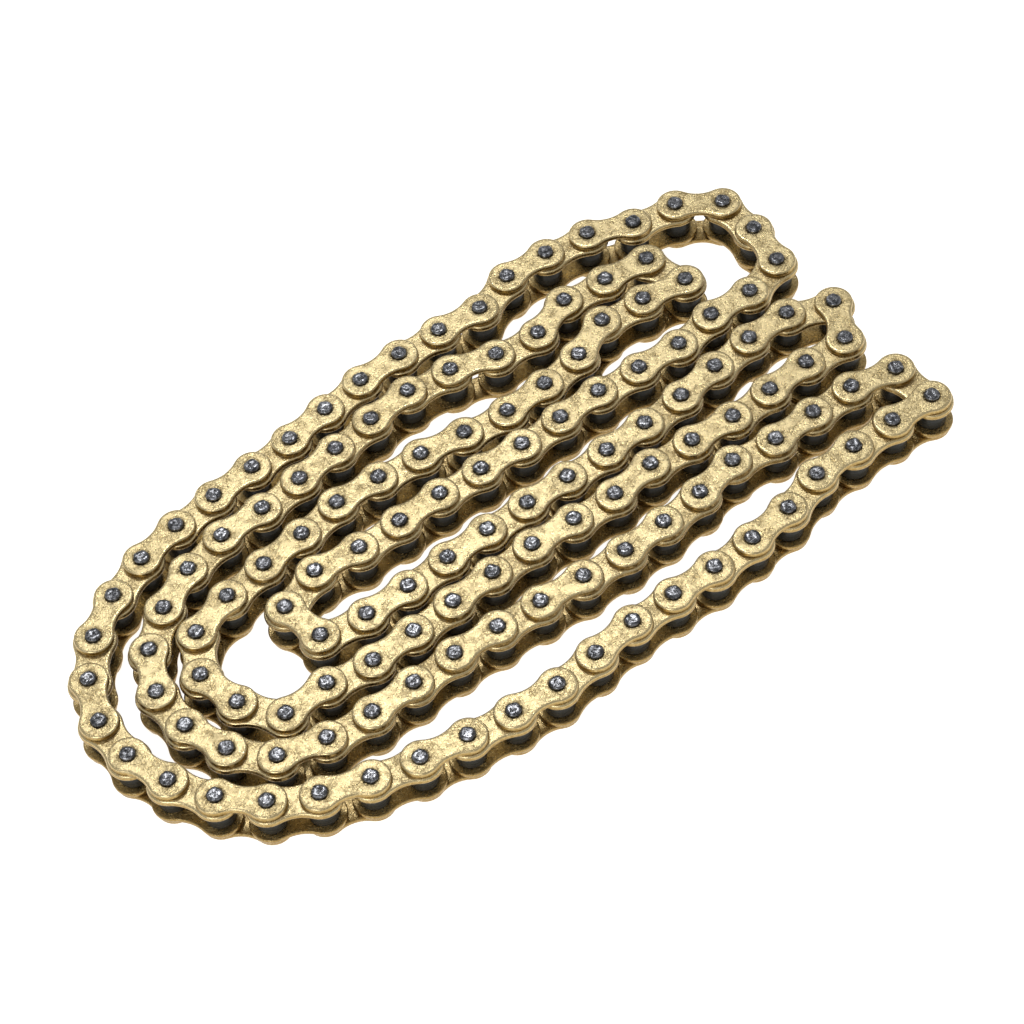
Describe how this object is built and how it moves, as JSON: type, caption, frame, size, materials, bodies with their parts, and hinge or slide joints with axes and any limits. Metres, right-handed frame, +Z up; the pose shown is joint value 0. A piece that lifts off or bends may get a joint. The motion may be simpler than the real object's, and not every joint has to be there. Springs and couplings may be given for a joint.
{
  "type": "roller drive chain",
  "caption": "Endless riveted roller chain lying flat in nested rows, with gold-plated link plates, steel pins and black rollers.",
  "frame": {"origin": "under the middle of the whole layout, on the surface that the lower pin heads rest on", "axes": "+Z up along the pins, +X along the straight rows, +Y across them from row 7 to row 8"},
  "size_m": [0.231, 0.1188, 0.0147],
  "materials": {
    "gold_plate": "pale gold plating, pitted and lightly brushed",
    "pin_steel": "dark grey riveted pin ends",
    "bush_steel": "plain hardened steel",
    "black_roller": "black, oiled and glossy"
  },
  "bodies": {
    "link_run_01": {"link_run_01": "gold_plate"},
    "link_run_02": {"link_run_02": "gold_plate"},
    "link_run_03": {"link_run_03": "gold_plate"},
    "link_run_04": {"link_run_04": "gold_plate"},
    "link_run_05": {"link_run_05": "gold_plate"},
    "link_run_06": {"link_run_06": "gold_plate"},
    "link_run_07": {"link_run_07": "gold_plate"},
    "link_run_08": {"link_run_08": "gold_plate"},
    "link_run_09": {"link_run_09": "gold_plate"},
    "link_run_10": {"link_run_10": "gold_plate"},
    "link_run_11": {"link_run_11": "gold_plate"},
    "link_run_12": {"link_run_12": "gold_plate"},
    "link_run_13": {"link_run_13": "gold_plate"},
    "link_run_14": {"link_run_14": "gold_plate"},
    "link_run_15": {"link_run_15": "gold_plate"},
    "link_run_16": {"link_run_16": "gold_plate"},
    "link_run_17": {"link_run_17": "gold_plate"},
    "link_run_18": {"link_run_18": "gold_plate"},
    "link_run_19": {"link_run_19": "gold_plate"},
    "link_run_20": {"link_run_20": "gold_plate"},
    "link_run_21": {"link_run_21": "gold_plate"},
    "link_run_22": {"link_run_22": "gold_plate"},
    "link_run_23": {"link_run_23": "gold_plate"},
    "link_run_24": {"link_run_24": "gold_plate"},
    "link_run_25": {"link_run_25": "gold_plate"},
    "link_run_26": {"link_run_26": "gold_plate"},
    "link_run_27": {"link_run_27": "gold_plate"},
    "link_run_28": {"link_run_28": "gold_plate"},
    "link_run_29": {"link_run_29": "gold_plate"},
    "link_run_30": {"link_run_30": "gold_plate"},
    "link_run_31": {"link_run_31": "gold_plate"},
    "link_run_32": {"link_run_32": "gold_plate"},
    "link_run_33": {"link_run_33": "gold_plate"},
    "link_run_34": {"link_run_34": "gold_plate"},
    "link_run_35": {"link_run_35": "gold_plate"},
    "link_run_36": {"link_run_36": "gold_plate"},
    "link_run_37": {"link_run_37": "gold_plate"},
    "link_run_38": {"link_run_38": "gold_plate"},
    "link_run_39": {"link_run_39": "gold_plate"},
    "link_run_40": {"link_run_40": "gold_plate"},
    "link_run_41": {"link_run_41": "gold_plate"},
    "link_run_42": {"link_run_42": "gold_plate"},
    "link_run_43": {"link_run_43": "gold_plate"},
    "link_run_44": {"link_run_44": "gold_plate"},
    "link_run_45": {"link_run_45": "gold_plate"},
    "link_run_46": {"link_run_46": "gold_plate"},
    "link_run_47": {"link_run_47": "gold_plate"},
    "link_run_48": {"link_run_48": "gold_plate"},
    "link_run_49": {"link_run_49": "gold_plate"},
    "link_run_50": {"link_run_50": "gold_plate"},
    "outer_link": {"outer_plate_top": "gold_plate", "outer_plate_bottom": "gold_plate", "pin_first": "pin_steel", "pin_second": "pin_steel"},
    "inner_link": {"inner_plate_top": "gold_plate", "inner_plate_bottom": "gold_plate", "bush_first": "bush_steel", "bush_second": "bush_steel"},
    "roller_first": {"roller_first": "black_roller"},
    "roller_second": {"roller_second": "black_roller"}
  },
  "joints": [
    {"name": "hinge_pin_004", "type": "hinge", "parent": "link_run_02", "child": "link_run_01", "pos_m": [0.04465, 0.00861, 0.00735], "axis": [0, 0, -1], "range_deg": [0, 3]},
    {"name": "hinge_pin_008", "type": "hinge", "parent": "link_run_03", "child": "link_run_02", "pos_m": [-0.0061, 0.01014, 0.00735], "axis": [0, 0, -1], "range_deg": [0, 3]},
    {"name": "hinge_pin_012", "type": "hinge", "parent": "link_run_04", "child": "link_run_03", "pos_m": [-0.05616, 0.00823, 0.00735], "axis": [0, 0, 1], "range_deg": [0, 20]},
    {"name": "hinge_pin_013", "type": "hinge", "parent": "link_run_05", "child": "link_run_04", "pos_m": [-0.05456, -0.00437, 0.00735], "axis": [0, 0, 1], "range_deg": [0, 20]},
    {"name": "hinge_pin_016", "type": "hinge", "parent": "link_run_06", "child": "link_run_05", "pos_m": [-0.01673, -0.00686, 0.00735], "axis": [0, 0, 1], "range_deg": [0, 4]},
    {"name": "hinge_pin_019", "type": "hinge", "parent": "link_run_07", "child": "link_run_06", "pos_m": [0.02136, -0.00741, 0.00735], "axis": [0, 0, 1], "range_deg": [0, 4]},
    {"name": "hinge_pin_022", "type": "hinge", "parent": "link_run_08", "child": "link_run_07", "pos_m": [0.05945, -0.00688, 0.00735], "axis": [0, 0, 1], "range_deg": [0, 4]},
    {"name": "hinge_pin_026", "type": "hinge", "parent": "link_run_09", "child": "link_run_08", "pos_m": [0.10894, -0.00978, 0.00735], "axis": [0, 0, -1], "range_deg": [0, 2]},
    {"name": "hinge_pin_027", "type": "hinge", "parent": "link_run_10", "child": "link_run_09", "pos_m": [0.10288, -0.02094, 0.00735], "axis": [0, 0, -1], "range_deg": [0, 2]},
    {"name": "hinge_pin_031", "type": "hinge", "parent": "link_run_11", "child": "link_run_10", "pos_m": [0.05217, -0.01971, 0.00735], "axis": [0, 0, -1], "range_deg": [0, 5]},
    {"name": "hinge_pin_036", "type": "hinge", "parent": "link_run_12", "child": "link_run_11", "pos_m": [-0.01115, -0.01792, 0.00735], "axis": [0, 0, -1], "range_deg": [0, 5]},
    {"name": "hinge_pin_041", "type": "hinge", "parent": "link_run_13", "child": "link_run_12", "pos_m": [-0.07443, -0.01718, 0.00735], "axis": [0, 0, -1], "range_deg": [0, 16]},
    {"name": "hinge_pin_042", "type": "hinge", "parent": "link_run_14", "child": "link_run_13", "pos_m": [-0.08143, -0.00658, 0.00735], "axis": [0, 0, -1], "range_deg": [0, 16]},
    {"name": "hinge_pin_043", "type": "hinge", "parent": "link_run_15", "child": "link_run_14", "pos_m": [-0.08364, 0.00592, 0.00735], "axis": [0, 0, -1], "range_deg": [0, 16]},
    {"name": "hinge_pin_044", "type": "hinge", "parent": "link_run_16", "child": "link_run_15", "pos_m": [-0.07719, 0.01687, 0.00735], "axis": [0, 0, -1], "range_deg": [0, 16]},
    {"name": "hinge_pin_045", "type": "hinge", "parent": "link_run_17", "child": "link_run_16", "pos_m": [-0.06506, 0.02061, 0.00735], "axis": [0, 0, -1], "range_deg": [0, 16]},
    {"name": "hinge_pin_048", "type": "hinge", "parent": "link_run_18", "child": "link_run_17", "pos_m": [-0.02727, 0.02545, 0.00735], "axis": [0, 0, -1], "range_deg": [0, 4]},
    {"name": "hinge_pin_051", "type": "hinge", "parent": "link_run_19", "child": "link_run_18", "pos_m": [0.01056, 0.02129, 0.00735], "axis": [0, 0, -1], "range_deg": [0, 4]},
    {"name": "hinge_pin_054", "type": "hinge", "parent": "link_run_20", "child": "link_run_19", "pos_m": [0.04841, 0.02137, 0.00735], "axis": [0, 0, -1], "range_deg": [0, 4]},
    {"name": "hinge_pin_057", "type": "hinge", "parent": "link_run_21", "child": "link_run_20", "pos_m": [0.08527, 0.02211, 0.00735], "axis": [0, 0, 1], "range_deg": [0, 4]},
    {"name": "hinge_pin_058", "type": "hinge", "parent": "link_run_22", "child": "link_run_21", "pos_m": [0.08229, 0.03445, 0.00735], "axis": [0, 0, 1], "range_deg": [0, 4]},
    {"name": "hinge_pin_061", "type": "hinge", "parent": "link_run_23", "child": "link_run_22", "pos_m": [0.0451, 0.03418, 0.00735], "axis": [0, 0, 1], "range_deg": [0, 5]},
    {"name": "hinge_pin_065", "type": "hinge", "parent": "link_run_24", "child": "link_run_23", "pos_m": [-0.00472, 0.04097, 0.00735], "axis": [0, 0, 1], "range_deg": [0, 5]},
    {"name": "hinge_pin_069", "type": "hinge", "parent": "link_run_24", "child": "link_run_25", "pos_m": [-0.05528, 0.03673, 0.00735], "axis": [0, 0, -1], "range_deg": [0, 17]},
    {"name": "hinge_pin_071", "type": "hinge", "parent": "link_run_25", "child": "link_run_26", "pos_m": [-0.07909, 0.0284, 0.00735], "axis": [0, 0, -1], "range_deg": [0, 17]},
    {"name": "hinge_pin_072", "type": "hinge", "parent": "link_run_26", "child": "link_run_27", "pos_m": [-0.08905, 0.02053, 0.00735], "axis": [0, 0, -1], "range_deg": [0, 17]},
    {"name": "hinge_pin_073", "type": "hinge", "parent": "link_run_27", "child": "link_run_28", "pos_m": [-0.09466, 0.00914, 0.00735], "axis": [0, 0, -1], "range_deg": [0, 17]},
    {"name": "hinge_pin_074", "type": "hinge", "parent": "link_run_28", "child": "link_run_29", "pos_m": [-0.0949, -0.00356, 0.00735], "axis": [0, 0, -1], "range_deg": [0, 17]},
    {"name": "hinge_pin_076", "type": "hinge", "parent": "link_run_29", "child": "link_run_30", "pos_m": [-0.08307, -0.02551, 0.00735], "axis": [0, 0, -1], "range_deg": [0, 17]},
    {"name": "hinge_pin_078", "type": "hinge", "parent": "link_run_30", "child": "link_run_31", "pos_m": [-0.05836, -0.03076, 0.00735], "axis": [0, 0, -1], "range_deg": [0, 17]},
    {"name": "hinge_pin_081", "type": "hinge", "parent": "link_run_31", "child": "link_run_32", "pos_m": [-0.02029, -0.0315, 0.00735], "axis": [0, 0, -1], "range_deg": [0, 4]},
    {"name": "hinge_pin_084", "type": "hinge", "parent": "link_run_32", "child": "link_run_33", "pos_m": [0.01767, -0.03473, 0.00735], "axis": [0, 0, -1], "range_deg": [0, 4]},
    {"name": "hinge_pin_088", "type": "hinge", "parent": "link_run_33", "child": "link_run_34", "pos_m": [0.06809, -0.03356, 0.00735], "axis": [0, 0, -1], "range_deg": [0, 4]},
    {"name": "hinge_pin_091", "type": "hinge", "parent": "link_run_34", "child": "link_run_35", "pos_m": [0.10576, -0.03708, 0.00735], "axis": [0, 0, 1], "range_deg": [0, 5]},
    {"name": "hinge_pin_092", "type": "hinge", "parent": "link_run_35", "child": "link_run_36", "pos_m": [0.10655, -0.04976, 0.00735], "axis": [0, 0, 1], "range_deg": [0, 5]},
    {"name": "hinge_pin_097", "type": "hinge", "parent": "link_run_36", "child": "link_run_37", "pos_m": [0.04352, -0.05296, 0.00735], "axis": [0, 0, 1], "range_deg": [0, 5]},
    {"name": "hinge_pin_102", "type": "hinge", "parent": "link_run_37", "child": "link_run_38", "pos_m": [-0.01987, -0.05433, 0.00735], "axis": [0, 0, 1], "range_deg": [0, 5]},
    {"name": "hinge_pin_106", "type": "hinge", "parent": "link_run_38", "child": "link_run_39", "pos_m": [-0.06971, -0.04524, 0.00735], "axis": [0, 0, 1], "range_deg": [0, 22]},
    {"name": "hinge_pin_108", "type": "hinge", "parent": "link_run_39", "child": "link_run_40", "pos_m": [-0.09243, -0.03411, 0.00735], "axis": [0, 0, 1], "range_deg": [0, 22]},
    {"name": "hinge_pin_110", "type": "hinge", "parent": "link_run_40", "child": "link_run_41", "pos_m": [-0.10694, -0.01348, 0.00735], "axis": [0, 0, 1], "range_deg": [0, 22]},
    {"name": "hinge_pin_112", "type": "hinge", "parent": "link_run_41", "child": "link_run_42", "pos_m": [-0.11014, 0.01149, 0.00735], "axis": [0, 0, 1], "range_deg": [0, 22]},
    {"name": "hinge_pin_114", "type": "hinge", "parent": "link_run_42", "child": "link_run_43", "pos_m": [-0.09717, 0.03299, 0.00735], "axis": [0, 0, 1], "range_deg": [0, 22]},
    {"name": "hinge_pin_116", "type": "hinge", "parent": "link_run_43", "child": "link_run_44", "pos_m": [-0.07467, 0.04448, 0.00735], "axis": [0, 0, 1], "range_deg": [0, 22]},
    {"name": "hinge_pin_118", "type": "hinge", "parent": "link_run_44", "child": "link_run_45", "pos_m": [-0.04959, 0.04829, 0.00735], "axis": [0, 0, 1], "range_deg": [0, 22]},
    {"name": "hinge_pin_121", "type": "hinge", "parent": "link_run_45", "child": "link_run_46", "pos_m": [-0.01166, 0.05158, 0.00735], "axis": [0, 0, 1], "range_deg": [0, 4]},
    {"name": "hinge_pin_124", "type": "hinge", "parent": "link_run_46", "child": "link_run_47", "pos_m": [0.02635, 0.05247, 0.00735], "axis": [0, 0, 1], "range_deg": [0, 4]},
    {"name": "hinge_pin_127", "type": "hinge", "parent": "link_run_47", "child": "link_run_48", "pos_m": [0.06381, 0.05417, 0.00735], "axis": [0, 0, 1], "range_deg": [0, 4]},
    {"name": "hinge_pin_130", "type": "hinge", "parent": "link_run_48", "child": "link_run_49", "pos_m": [0.10026, 0.04399, 0.00735], "axis": [0, 0, 1], "range_deg": [0, 25]},
    {"name": "hinge_pin_131", "type": "hinge", "parent": "link_run_49", "child": "link_run_50", "pos_m": [0.11015, 0.03603, 0.00735], "axis": [0, 0, 1], "range_deg": [0, 25]},
    {"name": "hinge_pin_132", "type": "hinge", "parent": "link_run_50", "child": "outer_link", "pos_m": [0.11023, 0.02333, 0.00735], "axis": [0, 0, 1], "range_deg": [0, 13]},
    {"name": "end_link_swing", "type": "hinge", "parent": "outer_link", "child": "inner_link", "pos_m": [0.10746, 0.01093, 0.00735], "axis": [0, 0, -1], "range_deg": [0, 58]},
    {"name": "roller_first_spin", "type": "hinge", "parent": "inner_link", "child": "roller_first", "pos_m": [0.10746, 0.01093, 0.00735], "axis": [0, 0, 1], "continuous": true},
    {"name": "roller_second_spin", "type": "hinge", "parent": "inner_link", "child": "roller_second", "pos_m": [0.0952, 0.00762, 0.00735], "axis": [0, 0, 1], "continuous": true}
  ],
  "couplings": [
    {"joint": "hinge_pin_004", "follows": "hinge_pin_013", "ratio": 0.15},
    {"joint": "hinge_pin_008", "follows": "hinge_pin_013", "ratio": 0.15},
    {"joint": "hinge_pin_012", "follows": "hinge_pin_013", "ratio": 1},
    {"joint": "hinge_pin_016", "follows": "hinge_pin_013", "ratio": 0.2},
    {"joint": "hinge_pin_019", "follows": "hinge_pin_013", "ratio": 0.2},
    {"joint": "hinge_pin_022", "follows": "hinge_pin_013", "ratio": 0.2},
    {"joint": "hinge_pin_026", "follows": "hinge_pin_013", "ratio": 0.1},
    {"joint": "hinge_pin_027", "follows": "hinge_pin_013", "ratio": 0.1},
    {"joint": "hinge_pin_031", "follows": "hinge_pin_013", "ratio": 0.25},
    {"joint": "hinge_pin_036", "follows": "hinge_pin_013", "ratio": 0.25},
    {"joint": "hinge_pin_041", "follows": "hinge_pin_013", "ratio": 0.8},
    {"joint": "hinge_pin_042", "follows": "hinge_pin_013", "ratio": 0.8},
    {"joint": "hinge_pin_043", "follows": "hinge_pin_013", "ratio": 0.8},
    {"joint": "hinge_pin_044", "follows": "hinge_pin_013", "ratio": 0.8},
    {"joint": "hinge_pin_045", "follows": "hinge_pin_013", "ratio": 0.8},
    {"joint": "hinge_pin_048", "follows": "hinge_pin_013", "ratio": 0.2},
    {"joint": "hinge_pin_051", "follows": "hinge_pin_013", "ratio": 0.2},
    {"joint": "hinge_pin_054", "follows": "hinge_pin_013", "ratio": 0.2},
    {"joint": "hinge_pin_057", "follows": "hinge_pin_013", "ratio": 0.2},
    {"joint": "hinge_pin_058", "follows": "hinge_pin_013", "ratio": 0.2},
    {"joint": "hinge_pin_061", "follows": "hinge_pin_013", "ratio": 0.25},
    {"joint": "hinge_pin_065", "follows": "hinge_pin_013", "ratio": 0.25},
    {"joint": "hinge_pin_069", "follows": "hinge_pin_013", "ratio": 0.85},
    {"joint": "hinge_pin_071", "follows": "hinge_pin_013", "ratio": 0.85},
    {"joint": "hinge_pin_072", "follows": "hinge_pin_013", "ratio": 0.85},
    {"joint": "hinge_pin_073", "follows": "hinge_pin_013", "ratio": 0.85},
    {"joint": "hinge_pin_074", "follows": "hinge_pin_013", "ratio": 0.85},
    {"joint": "hinge_pin_076", "follows": "hinge_pin_013", "ratio": 0.85},
    {"joint": "hinge_pin_078", "follows": "hinge_pin_013", "ratio": 0.85},
    {"joint": "hinge_pin_081", "follows": "hinge_pin_013", "ratio": 0.2},
    {"joint": "hinge_pin_084", "follows": "hinge_pin_013", "ratio": 0.2},
    {"joint": "hinge_pin_088", "follows": "hinge_pin_013", "ratio": 0.2},
    {"joint": "hinge_pin_091", "follows": "hinge_pin_013", "ratio": 0.25},
    {"joint": "hinge_pin_092", "follows": "hinge_pin_013", "ratio": 0.25},
    {"joint": "hinge_pin_097", "follows": "hinge_pin_013", "ratio": 0.25},
    {"joint": "hinge_pin_102", "follows": "hinge_pin_013", "ratio": 0.25},
    {"joint": "hinge_pin_106", "follows": "hinge_pin_013", "ratio": 1.1},
    {"joint": "hinge_pin_108", "follows": "hinge_pin_013", "ratio": 1.1},
    {"joint": "hinge_pin_110", "follows": "hinge_pin_013", "ratio": 1.1},
    {"joint": "hinge_pin_112", "follows": "hinge_pin_013", "ratio": 1.1},
    {"joint": "hinge_pin_114", "follows": "hinge_pin_013", "ratio": 1.1},
    {"joint": "hinge_pin_116", "follows": "hinge_pin_013", "ratio": 1.1},
    {"joint": "hinge_pin_118", "follows": "hinge_pin_013", "ratio": 1.1},
    {"joint": "hinge_pin_121", "follows": "hinge_pin_013", "ratio": 0.2},
    {"joint": "hinge_pin_124", "follows": "hinge_pin_013", "ratio": 0.2},
    {"joint": "hinge_pin_127", "follows": "hinge_pin_013", "ratio": 0.2},
    {"joint": "hinge_pin_130", "follows": "hinge_pin_013", "ratio": 1.25},
    {"joint": "hinge_pin_131", "follows": "hinge_pin_013", "ratio": 1.25},
    {"joint": "hinge_pin_132", "follows": "hinge_pin_013", "ratio": 0.65}
  ]
}
